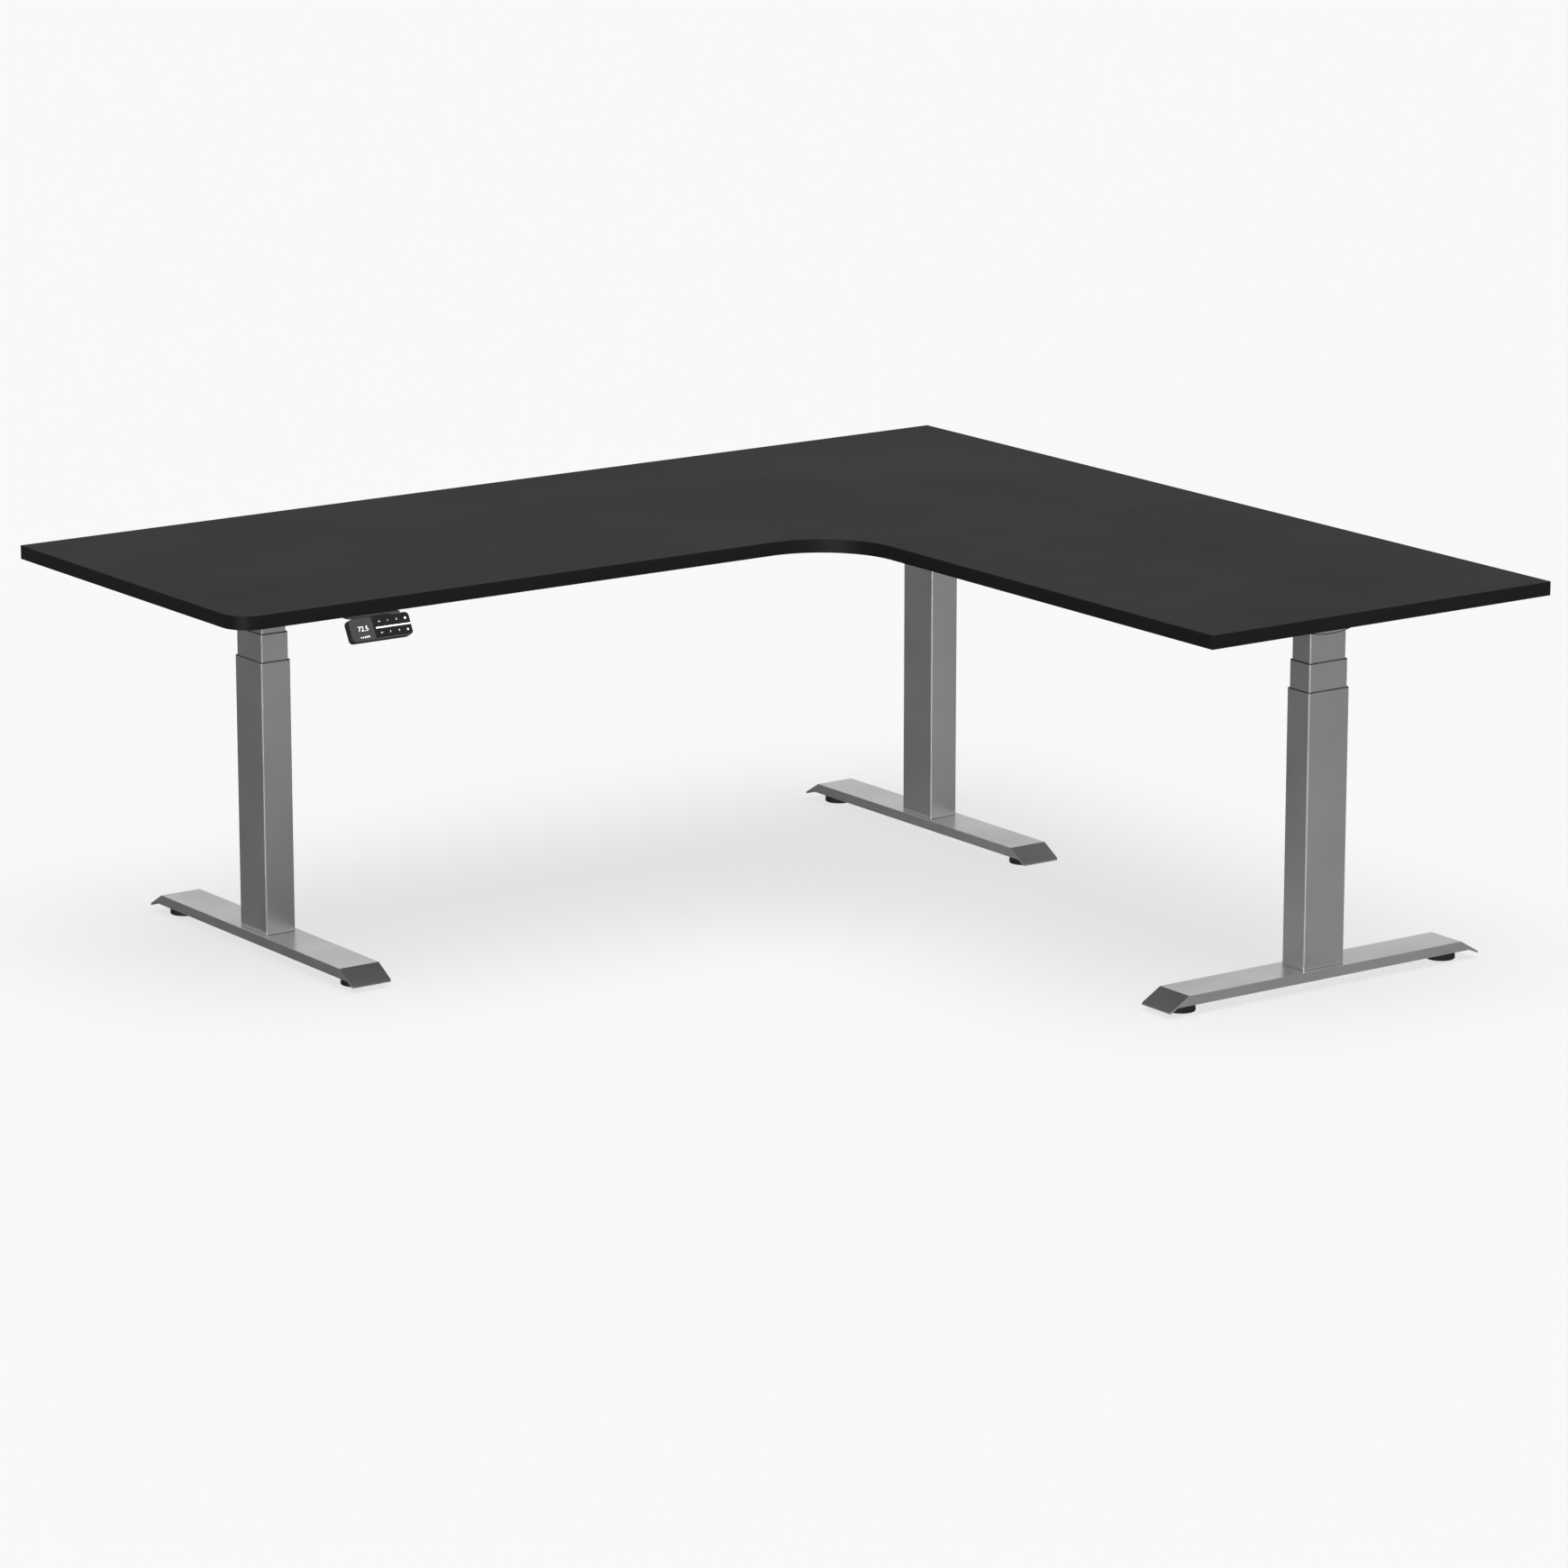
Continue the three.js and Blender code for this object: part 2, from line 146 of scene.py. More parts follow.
def surface(name, colour, spread, roughness, grain, relief, metallic=0.0, specular=0.5,
            coat=0.0, cloud=6.0):
    """A finish whose colour and roughness drift by a soft cloud, with a fine grain in its relief.

    spread is the share by which the colour varies, grain the relief's features per metre."""
    made, tree, shader, coordinates = nodes_of(name)
    drift = noise(tree, coordinates, cloud)
    fine = noise(tree, coordinates, grain, detail=2.0)
    mixed = tree.nodes.new("ShaderNodeMath")
    mixed.operation = "MULTIPLY_ADD"
    mixed.inputs[1].default_value = 0.5
    tree.links.new(fine, mixed.inputs[0])
    half = tree.nodes.new("ShaderNodeMath")
    half.operation = "MULTIPLY"
    half.inputs[1].default_value = 0.5
    tree.links.new(drift, half.inputs[0])
    tree.links.new(half.outputs["Value"], mixed.inputs[2])
    dark = tuple(c * (1 - spread) for c in colour)
    light = tuple(c * (1 + spread) for c in colour)
    tree.links.new(two_tone(tree, mixed.outputs["Value"], dark, light), shader.inputs["Base Color"])
    low, high = roughness
    tree.links.new(remap(tree, drift, low, high), shader.inputs["Roughness"])
    tree.links.new(bump(tree, fine, relief, GRAIN_DEPTH), shader.inputs["Normal"])
    shader.inputs["Metallic"].default_value = metallic
    shader.inputs["Specular IOR Level"].default_value = specular
    shader.inputs["Coat Weight"].default_value = coat
    return made


def glow(name, colour, strength):
    made, tree, shader, coordinates = nodes_of(name)
    speckle = noise(tree, coordinates, 900)
    dark = tuple(0.92 * c for c in colour)
    tree.links.new(two_tone(tree, speckle, dark, colour), shader.inputs["Emission Color"])
    shader.inputs["Base Color"].default_value = (*colour, 1)
    shader.inputs["Emission Strength"].default_value = strength
    shader.inputs["Roughness"].default_value = 0.4
    return made


MELAMINE = surface("melamine", (0.021, 0.021, 0.0215), 0.05, (0.46, 0.54), 1500, 0.09,
                   specular=0.008, cloud=2.5)
EDGE_BAND = surface("edge_band", (0.0055, 0.0055, 0.0057), 0.06, (0.42, 0.5), 1800, 0.07,
                    specular=0.16)
POWDER = surface("powder_coat", (0.565, 0.567, 0.57), 0.04, (0.27, 0.33), 2600, 0.04, metallic=0.9,
                 cloud=9)
FRAME_PAINT = surface("frame_paint", (0.25, 0.252, 0.256), 0.06, (0.42, 0.5), 2200, 0.07,
                      metallic=0.4)
ZINC = surface("zinc_plate", (0.62, 0.63, 0.65), 0.08, (0.24, 0.38), 700, 0.05, metallic=0.9,
               cloud=40)
MOTOR_PAINT = surface("motor_enamel", (0.018, 0.018, 0.019), 0.1, (0.3, 0.4), 1200, 0.06,
                      metallic=0.2)
RUBBER = surface("moulded_rubber", (0.014, 0.014, 0.014), 0.12, (0.55, 0.7), 1600, 0.12,
                 specular=0.3)
PLASTIC = surface("textured_plastic", (0.02, 0.02, 0.021), 0.1, (0.42, 0.52), 3400, 0.12,
                  specular=0.4)
DISPLAY = surface("smoked_window", (0.048, 0.049, 0.051), 0.03, (0.2, 0.26), 4000, 0.01, coat=0.4)
KEYPAD = surface("keypad_film", (0.0095, 0.0098, 0.0102), 0.06, (0.34, 0.42), 3000, 0.06,
                 specular=0.4)
CONTACT = surface("socket_contact", (0.8, 0.62, 0.3), 0.06, (0.22, 0.3), 900, 0.03, metallic=1.0)
LIT = glow("lit_legend", (1.0, 1.0, 1.0), 0.9)

FINISH = {
    "desktop": MELAMINE, "column_paint": POWDER, "frame_paint": FRAME_PAINT, "zinc_steel": ZINC,
    "motor_paint": MOTOR_PAINT, "glide_rubber": RUBBER, "black_plastic": PLASTIC,
    "display": DISPLAY, "keypad": KEYPAD,
}
SLOT_OF = {row["node"]: row["material_slot"] for row in frame["record"]["subparts"]}


# ------------------------------------------------------------------ mesh helpers
def body_of(node):
    return NODES[node]["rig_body"]


def add_piece(name, mesh, body, finish, replaced=()):
    """A new object on a body, with its finish and the nodes it stands for."""
    piece = bpy.data.objects.new(name, mesh)
    bpy.context.scene.collection.objects.link(piece)
    mesh.materials.clear()
    for material in finish if isinstance(finish, (list, tuple)) else [finish]:
        mesh.materials.append(material)
    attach(piece, body)
    if replaced:
        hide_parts(*replaced)
    return piece


def smooth(piece, angle=40):
    """Smooth shading with sharp edges over the angle, and normals that keep the flat faces flat."""
    for polygon in piece.data.polygons:
        polygon.use_smooth = True
    piece.data.set_sharp_from_angle(angle=math.radians(angle))
    weighted = piece.modifiers.new("weighted", "WEIGHTED_NORMAL")
    weighted.keep_sharp = True
    return piece


def clean_copy(node):
    """A bmesh of a CAD node with its flat faces merged back into whole faces."""
    shape = bmesh.new()
    shape.from_mesh(NODES[node].data)
    bmesh.ops.remove_doubles(shape, verts=shape.verts, dist=MERGE_DISTANCE)
    bmesh.ops.dissolve_limit(shape, angle_limit=math.radians(0.6), use_dissolve_boundaries=False,
                             verts=shape.verts, edges=shape.edges)
    bmesh.ops.dissolve_degenerate(shape, dist=SLIVER, edges=shape.edges)
    return shape


def rounded(node, width, segments=3, sharp=30, finish=None, flat=False):
    """Stands for a CAD node with its hard edges rounded, and flat shading for folded sheet."""
    shape = clean_copy(node)
    limit = math.radians(sharp)
    edges = [e for e in shape.edges if e.is_manifold and e.calc_face_angle(0) > limit]
    bmesh.ops.bevel(shape, geom=edges, offset=width, segments=segments, profile=0.5, affect="EDGES",
                    clamp_overlap=True, miter_outer="ARC")
    mesh = bpy.data.meshes.new(f"{node}_finished")
    bmesh.ops.triangulate(shape, faces=[f for f in shape.faces if len(f.verts) > 4])
    shape.to_mesh(mesh)
    shape.free()
    slot = SLOT_OF[node]
    piece = add_piece(f"{node}_finished", mesh, body_of(node), finish or FINISH[slot], [node])
    return piece if flat else smooth(piece)


def ring_loops(shape, rings, segments, place):
    """Rings of vertices about Z. A ring is (radius or a function of the angle, height)."""
    loops = []
    for radius, height in rings:
        loop = []
        for i in range(segments):
            turn = 2 * math.pi * i / segments
            r = radius(turn) if callable(radius) else radius
            spot = Vector((r * math.cos(turn), r * math.sin(turn), height))
            loop.append(shape.verts.new(place @ spot))
        loops.append(loop)
    return loops


def bridge(shape, loops, closed=False):
    """Joins each loop of vertices to the next, and the last to the first if closed."""
    following = loops[1:] + loops[:1] if closed else loops[1:]
    for lower, upper in zip(loops, following):
        count = len(lower)
        for i in range(count):
            j = (i + 1) % count
            shape.faces.new((lower[i], lower[j], upper[j], upper[i]))


def revolve(shape, rings, segments, place):
    """Adds a closed turned body, its rings given from bottom to top."""
    loops = ring_loops(shape, rings, segments, place)
    bridge(shape, loops)
    shape.faces.new(list(reversed(loops[0])))
    shape.faces.new(loops[-1])


def finish_mesh(name, shape):
    bmesh.ops.recalc_face_normals(shape, faces=shape.faces)
    mesh = bpy.data.meshes.new(name)
    shape.to_mesh(mesh)
    shape.free()
    return mesh


def facing(point, direction):
    """The placing that puts a piece's foot on the point, with its +Z along the direction."""
    turn = Vector(direction).to_track_quat("Z", "Y").to_matrix().to_4x4()
    return Matrix.Translation(Vector(point)) @ turn


def polygon_radius(sides, inscribed):
    """The radius of a regular polygon as a function of the angle."""
    step = 2 * math.pi / sides
    return lambda turn: inscribed / math.cos((turn + step / 2) % step - step / 2)


def star_radius(inner, outer, points):
    return lambda turn: inner + (outer - inner) * (0.5 + 0.5 * math.cos(points * turn)) ** 2


def screw_rings(radius, height, drive):
    """A domed head, from its seat up over the dome and down into the drive's recess."""
    return [
        (radius * 0.96, 0), (radius, height * 0.12), (radius * 0.97, height * 0.45),
        (radius * 0.86, height * 0.78), (radius * 0.68, height * 0.96), (radius * 0.56, height),
        (drive, height), (drive, height * 0.35), (0.02 * radius, height * 0.3),
    ]


def screws(name, places, direction, radius, height, body, hexagonal=False):
    """One piece that holds the heads of like screws, all facing the same way."""
    shape = bmesh.new()
    if hexagonal:
        drive = polygon_radius(6, radius * 0.42)
    else:
        drive = star_radius(radius * 0.16, radius * 0.46, 4)
    for place in places:
        revolve(shape, screw_rings(radius, height, drive), 24, facing(place, direction))
    smooth(add_piece(name, finish_mesh(name, shape), body, ZINC), 35)


def centre_of(node):
    low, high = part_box(node)
    return (low + high) / 2


# ------------------------------------------------------------------ desktop
def build_desktop():
    """Both boards with a small radius on every edge, the sides in the edge band's finish."""
    edge_round = 1.1 * MM
    for node in ("main_board", "return_board"):
        board = rounded(node, edge_round, segments=4, sharp=30, finish=[MELAMINE, EDGE_BAND])
        for polygon in board.data.polygons:
            if abs(polygon.normal.z) < 0.35:
                polygon.material_index = 1
    for node in ("seam_plate_inner", "seam_plate_outer"):
        rounded(node, 0.5 * MM)
        low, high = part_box(node)
        inset = 12 * MM
        places = [(x, y, low.z) for x in (low.x + inset, high.x - inset)
                  for y in (low.y + inset, low.y + 4 * inset, high.y - 4 * inset, high.y - inset)]
        screws(f"{node}_screws", places, DOWN, 4.2 * MM, 2.2 * MM, "top")


# ------------------------------------------------------------------ columns and feet
def along(leg):
    """Unit vectors along the foot, from its front to its rear, and across it."""
    low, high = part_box(f"{leg}_foot")
    if high.x - low.x > high.y - low.y:
        return Vector((1, 0, 0)), Vector((0, 1, 0))
    return Vector((0, 1, 0)), Vector((1, 0, 0))


def build_glide(leg, end):
    """A moulded disc with a grip groove and ribs, on a threaded stud."""
    node = f"{leg}_glide_{end}"
    low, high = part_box(node)
    centre = (low + high) / 2
    radius = (high.x - low.x) / 2
    disc, stud, pitch = 11 * MM, 5 * MM, 1.5 * MM

    def grip(turn):
        return radius - 0.2 * MM - 0.35 * MM * (0.5 + 0.5 * math.cos(36 * turn))

    rings = [
        (radius * 0.1, 0), (radius - 2.2 * MM, 0), (radius - 0.8 * MM, 0.4 * MM),
        (radius, 1.4 * MM), (radius, 4.3 * MM), (radius - 1.3 * MM, 5 * MM),
        (radius - 1.3 * MM, 6 * MM),
        (grip, 6.7 * MM), (grip, 9.6 * MM),
        (radius - 1.6 * MM, disc), (radius * 0.42, disc), (radius * 0.4, disc + 1.5 * MM),
        (polygon_radius(6, 8 * MM), disc + 1.6 * MM), (polygon_radius(6, 8 * MM), disc + 6 * MM),
        (stud, disc + 6.2 * MM),
    ]
    height = disc + 6.4 * MM
    while height < high.z - low.z - pitch:
        rings += [(stud - 0.7 * MM, height + pitch * 0.25), (stud, height + pitch * 0.75)]
        height += pitch
    rings.append((stud - 0.8 * MM, high.z - low.z))
    shape = bmesh.new()
    revolve(shape, rings, 144, Matrix.Translation(Vector((centre.x, centre.y, low.z))))
    name = f"{node}_finished"
    piece = add_piece(name, finish_mesh(name, shape), node, RUBBER, [node])
    smooth(piece, 38)


def build_foot(leg):
    """The folded foot with rounded bends, its glide nuts and the bolts that hold the column."""
    rounded(f"{leg}_foot", 0.9 * MM, segments=3, sharp=25, flat=True)
    run, across = along(leg)
    _, foot_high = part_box(f"{leg}_foot")
    plate_under = foot_high.z - FOOT_SHEET
    nuts = bmesh.new()
    for end in ("front", "rear"):
        build_glide(leg, end)
        centre = centre_of(f"{leg}_glide_{end}")
        nut_height, hole = 7 * MM, 5.3 * MM
        hexagon = polygon_radius(6, 8.5 * MM)
        outside = [(hexagon, 0), (hexagon, nut_height)]
        place = Matrix.Translation(Vector((centre.x, centre.y, plate_under - nut_height)))
        add_collar(nuts, outside, hole, 48, place)
    name = f"{leg}_glide_nuts"
    smooth(add_piece(name, finish_mesh(name, nuts), "base", ZINC), 35)
    middle = centre_of(f"{leg}_foot")
    places = []
    for side in (-1, 1):
        for shift in (-1, 1):
            spot = middle + run * (side * 30 * MM) + across * (shift * 18 * MM)
            places.append((spot.x, spot.y, plate_under))
    screws(f"{leg}_column_bolts", places, DOWN, 6.5 * MM, 5.5 * MM, "base", hexagonal=True)


def add_collar(shape, outside, hole, segments, place):
    """Adds a ring-shaped body. outside holds the wall's rings, hole is the bore's radius."""
    rings = [(hole, outside[0][1]), *outside, (hole, outside[-1][1])]
    bridge(shape, ring_loops(shape, rings, segments, place), closed=True)


def rounded_loop(half_x, half_y, radius, steps):
    """The points of a rectangle with round corners, anticlockwise."""
    points = []
    for corner, (sx, sy) in enumerate(((1, 1), (-1, 1), (-1, -1), (1, -1))):
        for i in range(steps + 1):
            turn = math.radians(90 * (corner + i / steps))
            points.append((sx * (half_x - radius) + radius * math.cos(turn),
                           sy * (half_y - radius) + radius * math.sin(turn)))
    return points


def build_tube(node, wall, body):
    """A tube of rectangular section with round corners and softened rims, as tall as its box."""
    low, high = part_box(node)
    middle, half, rim = (low + high) / 2, (high - low) / 2, 0.45 * MM
    wall_section = [
        (0, low.z + rim), (0, high.z - rim), (0.3 * rim, high.z - 0.3 * rim), (rim, high.z),
        (wall - rim, high.z), (wall - 0.3 * rim, high.z - 0.3 * rim), (wall, high.z - rim),
        (wall, low.z + rim), (wall - 0.3 * rim, low.z + 0.3 * rim), (wall - rim, low.z),
        (rim, low.z), (0.3 * rim, low.z + 0.3 * rim),
    ]
    shape = bmesh.new()
    loops = []
    for inset, height in wall_section:
        outline = rounded_loop(half.x - inset, half.y - inset, TUBE_CORNER - inset, 6)
        loops.append([shape.verts.new((middle.x + x, middle.y + y, height)) for x, y in outline])
    bridge(shape, loops, closed=True)
    name = f"{node}_finished"
    smooth(add_piece(name, finish_mesh(name, shape), body, POWDER, [node]))


def build_column(leg):
    """The three stages with the collars at the mouths of the two wider ones."""
    for stage, wall in TUBE_WALLS.items():
        node = f"{leg}_{stage}_tube"
        build_tube(node, wall, body_of(node))
    for stage in ("outer", "middle"):
        rounded(f"{leg}_{stage}_collar", 0.25 * MM, segments=2, sharp=50)


def build_spindle(leg):
    """The lead screw: a rod with a trapezoidal thread along its length."""
    node = f"{leg}_spindle"
    low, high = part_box(node)
    centre = (low + high) / 2
    radius = (high.x - low.x) / 2
    core, pitch = radius - 1.2 * MM, 5 * MM
    turns = int((high.z - low.z) / pitch) - 1
    rings = [(core * 0.8, 0), (core, 1 * MM)]
    for turn in range(turns):
        start = 1 * MM + turn * pitch
        rings += [(core, start + 0.2 * pitch), (radius, start + 0.4 * pitch),
                  (radius, start + 0.8 * pitch), (core, start + pitch)]
    rings.append((core, high.z - low.z))
    shape = bmesh.new()
    revolve(shape, rings, 16, Matrix.Translation(Vector((centre.x, centre.y, low.z))))
    name = f"{node}_finished"
    smooth(add_piece(name, finish_mesh(name, shape), "top", ZINC, [node]), 38)


def build_painted_gap_shade(leg):
    """A thin dark strip along the bowed lower edge of the head's two end walls, in the dark plastic
    finish: painted shade for the shadowed gap between the head and the tube.
    """
    run, across = along(leg)
    low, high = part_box(f"{leg}_head_housing")
    middle, half = (low + high) / 2, (high - low) / 2
    half_run, half_across = abs(half.dot(run)), abs(half.dot(across))
    height, proud, steps = 1.5 * MM, 0.25 * MM, 16
    shape = bmesh.new()
    for side in (-1, 1):
        rows = []
        for i in range(steps + 1):
            share = 2 * i / steps - 1
            edge = middle + run * (share * half_run) + across * (side * (half_across - 0.1 * MM))
            bow = low.z + HEAD_BOW * share * share
            out = across * (side * (proud + 0.1 * MM))
            rows.append([shape.verts.new((p.x, p.y, z)) for p, z in (
                (edge, bow), (edge + out, bow), (edge + out, bow + height), (edge, bow + height))])
        bridge(shape, rows)
        shape.faces.new(rows[0])
        shape.faces.new(rows[-1])
    # This strip is painted shade: a dark piece standing for the shadow in the gap under the head.
    add_piece(f"{leg}_head_painted_gap_shade", finish_mesh("painted_gap_shade", shape), "top", PLASTIC)


def build_head(leg):
    """The motor's housing and support arm with rounded folds, and their screws."""
    rounded(f"{leg}_head_housing", 1.0 * MM, segments=3, sharp=28)
    # Adds the painted shade strip along the head's bowed lower edge.
    build_painted_gap_shade(leg)
    rounded(f"{leg}_support_arm", 0.9 * MM, segments=3, sharp=28)
    rounded(f"{leg}_motor", 0.8 * MM, segments=3, sharp=35)
    build_spindle(leg)
    low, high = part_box(f"{leg}_support_arm")
    run, across = along(leg)
    middle = (low + high) / 2
    places = []
    for step in (-240, -120, 120, 240):
        spot = middle + run * (step * MM)
        places.append((spot.x, spot.y, low.z))
    screws(f"{leg}_arm_screws", places, DOWN, 6.5 * MM, 3.2 * MM, "top")


def build_rails():
    """The rails between the heads, with the clamping screws along their undersides."""
    for node in ("main_rail_front", "main_rail_rear", "return_rail_inner", "return_rail_outer"):
        rounded(node, 0.6 * MM, segments=2, sharp=50)
        low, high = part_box(node)
        size = high - low
        lengthwise = Vector((1, 0, 0)) if size.x > size.y else Vector((0, 1, 0))
        length = max(size.x, size.y)
        middle = (low + high) / 2
        places = []
        for share in (-0.44, -0.22, 0.22, 0.44):
            spot = middle + lengthwise * (share * length)
            places.append((spot.x, spot.y, low.z))
        screws(f"{node}_screws", places, DOWN, 5 * MM, 2.6 * MM, "top")


# ------------------------------------------------------------------ control box
BOX_FACES = ((0, 2, 3, 1), (4, 5, 7, 6), (0, 1, 5, 4), (2, 6, 7, 3), (0, 4, 6, 2), (1, 3, 7, 5))


def add_box(shape, low, high):
    v = [shape.verts.new((x, y, z)) for z in (low[2], high[2])
         for y in (low[1], high[1]) for x in (low[0], high[0])]
    for face in BOX_FACES:
        shape.faces.new([v[i] for i in face])


def build_control_box():
    """The box with rounded edges, a vent field, contacts in its sockets and its screws."""
    rounded("control_box", 1.6 * MM, segments=3, sharp=30)
    low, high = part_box("control_box")
    vents = bmesh.new()
    for i in range(12):
        x = low.x + 70 * MM + i * 10 * MM
        add_box(vents, (x, low.y + 22 * MM, low.z - 0.5 * MM),
                (x + 5 * MM, high.y - 22 * MM, low.z + 0.4 * MM))
    bmesh.ops.bevel(vents, geom=vents.edges[:], offset=0.35 * MM, segments=2, profile=0.5,
                    affect="EDGES")
    smooth(add_piece("control_box_vent_ribs", finish_mesh("vents", vents), "top", PLASTIC))
    pins = bmesh.new()
    middle = (low + high) / 2
    for socket in (-28.5, -9.5, 9.5, 28.5):
        for pin in (-4.5, -1.5, 1.5, 4.5):
            y = middle.y + (socket + pin) * MM
            add_box(pins, (low.x + 3 * MM, y - 0.5 * MM, low.z + 13 * MM),
                    (low.x + 12.5 * MM, y + 0.5 * MM, low.z + 14 * MM))
    bmesh.ops.bevel(pins, geom=pins.edges[:], offset=0.2 * MM, segments=1, profile=0.5,
                    affect="EDGES")
    smooth(add_piece("control_box_contacts", finish_mesh("pins", pins), "top", CONTACT))
    places = [(x, y, low.z) for x in (low.x + 14 * MM, high.x - 14 * MM)
              for y in (low.y + 12 * MM, high.y - 12 * MM)]
    screws("control_box_screws", places, DOWN, 4 * MM, 2.2 * MM, "top")


# ------------------------------------------------------------------ handset
def handset_place():
    """The handset's face: its middle, with X to the right, Y up the face and Z out of it."""
    press = next(j for j in frame["joints"] if j["name"] == "key_up_press")
    out = -Vector(press["axis"]).normalized()
    right = Vector((1, 0, 0))
    up = out.cross(right)
    corners = [v.co for n in ("handset_display", "handset_keypad") for v in NODES[n].data.vertices]
    front = max(c.dot(out) for c in corners)
    spans = [(min(c.dot(a) for c in corners) + max(c.dot(a) for c in corners)) / 2
             for a in (right, up)]
    origin = right * spans[0] + up * spans[1] + out * front
    turn = Matrix((right, up, out)).transposed().to_4x4()
    return Matrix.Translation(origin) @ turn


def slab(shape, outline, low, high, place):
    """Adds a flat plate with the given outline, between two heights over the face."""
    bottom = [shape.verts.new(place @ Vector((x, y, low))) for x, y in outline]
    top = [shape.verts.new(place @ Vector((x, y, high))) for x, y in outline]
    shape.faces.new(list(reversed(bottom)))
    shape.faces.new(top)
    count = len(outline)
    for i in range(count):
        j = (i + 1) % count
        shape.faces.new((bottom[i], bottom[j], top[j], top[i]))


def stroke(start, end, width):
    """The outline of a straight stroke with cut ends."""
    a, b = Vector(start), Vector(end)
    side = (b - a).normalized().orthogonal() * width / 2
    return [tuple(p) for p in (a + side, a - side, b - side, b + side)]


def arc_points(centre, radius, start, end, count):
    return [(centre[0] + radius * math.cos(math.radians(start + (end - start) * i / count)),
             centre[1] + radius * math.sin(math.radians(start + (end - start) * i / count)))
            for i in range(count + 1)]


def glyph_strokes(kind, size):
    """The strokes of a key's mark, as lists of points in the key's own plane."""
    h = size / 2
    if kind in ("up", "down"):
        s = 1 if kind == "up" else -1
        return [[(-h, -0.5 * s * h), (0, 0.6 * s * h), (h, -0.5 * s * h)]]
    if kind == "timer":
        return [arc_points((0, 0), h, 0, 360, 20), [(0, 0.6 * h), (0, 0), (0.45 * h, 0)]]
    side, top = 0.7 * h, 0.1 * h
    lock = [(-side, top), (side, top), (side, -h), (-side, -h), (-side, top)]
    return [lock, arc_points((0, 0.15 * h), 0.5 * h, 0, 180, 10)]


def text_mesh(words, size, place, lift):
    """Raised lettering in the built-in typeface, centred on the place, as a plain mesh."""
    curve = bpy.data.curves.new("lettering", "FONT")
    curve.body = words
    curve.size = size
    curve.extrude = LETTER_RELIEF
    curve.offset = -0.012 * size
    curve.align_x = "CENTER"
    curve.align_y = "CENTER"
    curve.resolution_u = 4
    holder = bpy.data.objects.new("lettering", curve)
    bpy.context.scene.collection.objects.link(holder)
    bpy.context.view_layer.update()
    mesh = bpy.data.meshes.new_from_object(holder)
    bpy.data.objects.remove(holder)
    bpy.data.curves.remove(curve)
    mesh.transform(place @ Matrix.Translation(Vector((0, 0, lift))))
    return mesh


def build_key(node, kind, place):
    """A key cap with softened edges and its lit mark."""
    rounded(node, 0.45 * MM, segments=3, sharp=40)
    corners = [place.inverted() @ v.co for v in NODES[node].data.vertices]
    middle = Vector([(min(c[i] for c in corners) + max(c[i] for c in corners)) / 2
                     for i in range(3)])
    top = max(c.z for c in corners)
    spot = place @ Matrix.Translation(Vector((middle.x, middle.y, top)))
    name = f"{node}_mark"
    if kind.startswith("memory"):
        mesh = text_mesh(kind[-1], 4.8 * MM, spot, LEGEND_LIFT)
        mesh.name = name
    else:
        shape = bmesh.new()
        width = 0.55 * MM
        for points in glyph_strokes(kind, 3.6 * MM):
            for start, end in zip(points, points[1:]):
                slab(shape, stroke(start, end, width), LEGEND_LOW, LEGEND_HIGH, spot)
        mesh = finish_mesh(name, shape)
    add_piece(name, mesh, body_of(node), LIT)


def build_handset():
    """The bracket, shell, window, keys, readout, light bar and level marks."""
    place = handset_place()
    bracket = rounded("handset_bracket", 0.35 * MM, segments=2, sharp=30, finish=[PLASTIC, ZINC])
    for polygon in bracket.data.polygons:
        if polygon.normal.z > 0.9:
            polygon.material_index = 1
    rounded("handset_shell", 1.8 * MM, segments=4, sharp=50)
    rounded("handset_display", 0.35 * MM, segments=3, sharp=40)
    rounded("handset_keypad", 0.3 * MM, segments=2, sharp=40)
    for key in ("up", "down", "timer", "lock", "memory_1", "memory_2", "memory_3", "memory_4"):
        build_key(f"key_{key}", key, place)
    reading_place = place @ Matrix.Translation(Vector((-35 * MM, 0.6 * MM, 0)))
    reading = text_mesh("72.5", 12.4 * MM, reading_place, LEGEND_LIFT)
    add_piece("handset_height_reading", reading, "top", LIT)
    bar = bmesh.new()
    left, right, low, high = -9.7 * MM, 59.4 * MM, -1.7 * MM, 0.5 * MM
    slab(bar, [(left, low), (right, low), (right, high), (left, high)], 0.05 * MM, 0.55 * MM, place)
    add_piece("handset_light_bar", finish_mesh("bar", bar), "top", LIT)
    ticks = bmesh.new()
    for i in range(5):
        x, low, high = (-43.5 + 3.9 * i) * MM, -15.2 * MM, (-13.4 + 0.4 * i) * MM
        outline = [(x, low), (x + 1.6 * MM, low), (x + 1.6 * MM, high), (x, high)]
        slab(ticks, outline, LEGEND_LOW, LEGEND_HIGH, place)
    add_piece("handset_level_ticks", finish_mesh("ticks", ticks), "top", LIT)
    low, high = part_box("handset_bracket")
    plate_under = high.z - BRACKET_PLATE
    places = [(x, high.y - 14 * MM, plate_under) for x in (low.x + 10 * MM, high.x - 10 * MM)]
    screws("handset_bracket_screws", places, DOWN, 4.2 * MM, 2.4 * MM, "top")


# ------------------------------------------------------------------ studio
FLOOR_LEVEL = cad_box[0].z - 0.5 * MM
FLOOR_SIZE = 200.0
FLOOR_PALE = 0.17
FLOOR_GLOW = 0.71
# What the floor sends back to the desk: dark behind it, bright before it, in radiance.
FLOOR_BEHIND = 0.12
FLOOR_BEFORE = 0.26
BEFORE_DESK = (0.58, -0.815, 0)
# Radiance of the studio's walls by height: (sine of the height above the horizon, radiance).
WALLS = ((0.0, 0.95), (0.32, 0.95), (0.48, 0.15), (0.64, 0.07), (0.85, 0.18), (1.0, 0.3))


def grey(level):
    return (level, level, level, 1)


